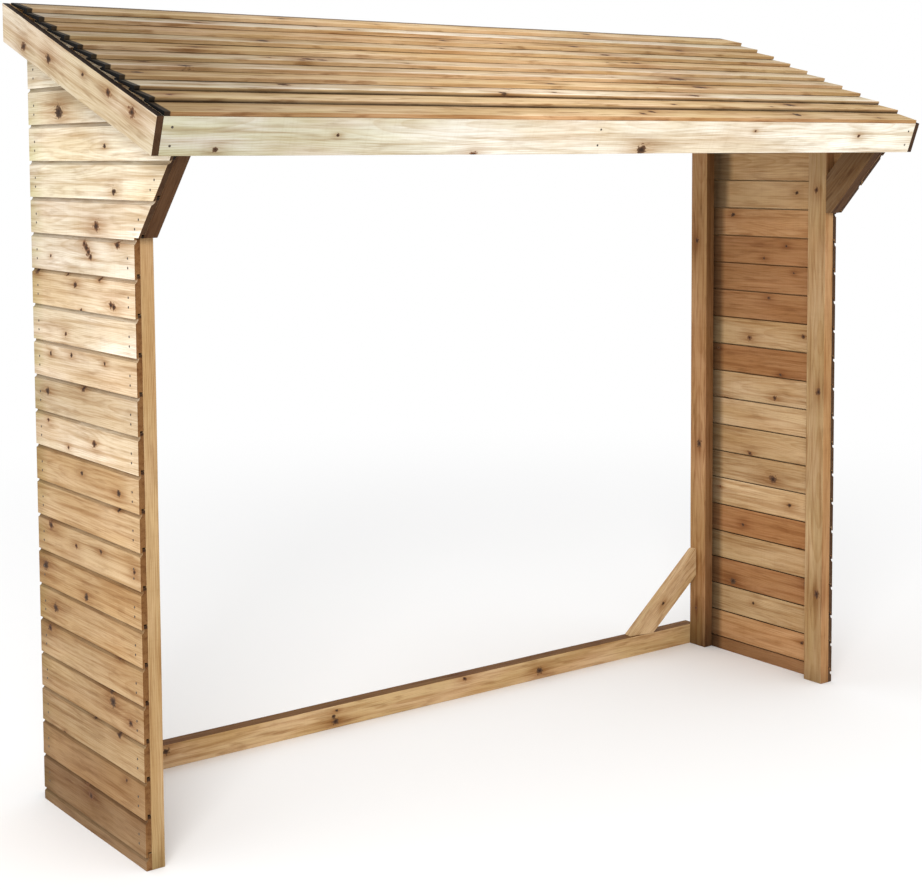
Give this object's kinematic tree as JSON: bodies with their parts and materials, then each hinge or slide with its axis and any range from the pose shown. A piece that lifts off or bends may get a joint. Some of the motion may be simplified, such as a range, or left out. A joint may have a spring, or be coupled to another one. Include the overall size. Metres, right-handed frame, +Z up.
{
  "type": "lean-to timber log store",
  "caption": "Lean-to timber log store: two lap-boarded side panels on posts, a low back rail with braces, and a lap-boarded roof sloping to a front fascia.",
  "frame": {"origin": "on the ground at the centre of the bounding box", "axes": "+X along the store to the right seen from the front, +Y towards the wall behind, +Z up"},
  "size_m": [2.368, 0.8392, 1.9297],
  "materials": {
    "framing_timber": "pressure-treated sawn softwood, matt",
    "cladding_timber": "pressure-treated shiplap softwood, matt",
    "roof_timber": "pressure-treated feather-edge softwood, matt",
    "edge_timber": "pressure-treated planed softwood, matt"
  },
  "bodies": {
    "root": {"back_rail": "framing_timber", "front_fascia": "edge_timber", "left_back_post": "framing_timber", "left_barge_board": "edge_timber", "left_cladding": "cladding_timber", "left_end_rafter": "framing_timber", "left_front_post": "framing_timber", "left_haunch_strut": "framing_timber", "left_rail_brace": "framing_timber", "middle_rafter_1": "framing_timber", "middle_rafter_2": "framing_timber", "middle_rafter_3": "framing_timber", "right_back_post": "framing_timber", "right_barge_board": "edge_timber", "right_cladding": "cladding_timber", "right_end_rafter": "framing_timber", "right_front_post": "framing_timber", "right_haunch_strut": "framing_timber", "right_rail_brace": "framing_timber", "roof_back_rail": "framing_timber", "roof_board_01": "roof_timber", "roof_board_02": "roof_timber", "roof_board_03": "roof_timber", "roof_board_04": "roof_timber", "roof_board_05": "roof_timber", "roof_board_06": "roof_timber", "roof_board_07": "roof_timber", "roof_board_08": "roof_timber", "roof_board_09": "roof_timber", "roof_board_10": "roof_timber", "roof_board_11": "roof_timber"}
  },
  "joints": []
}
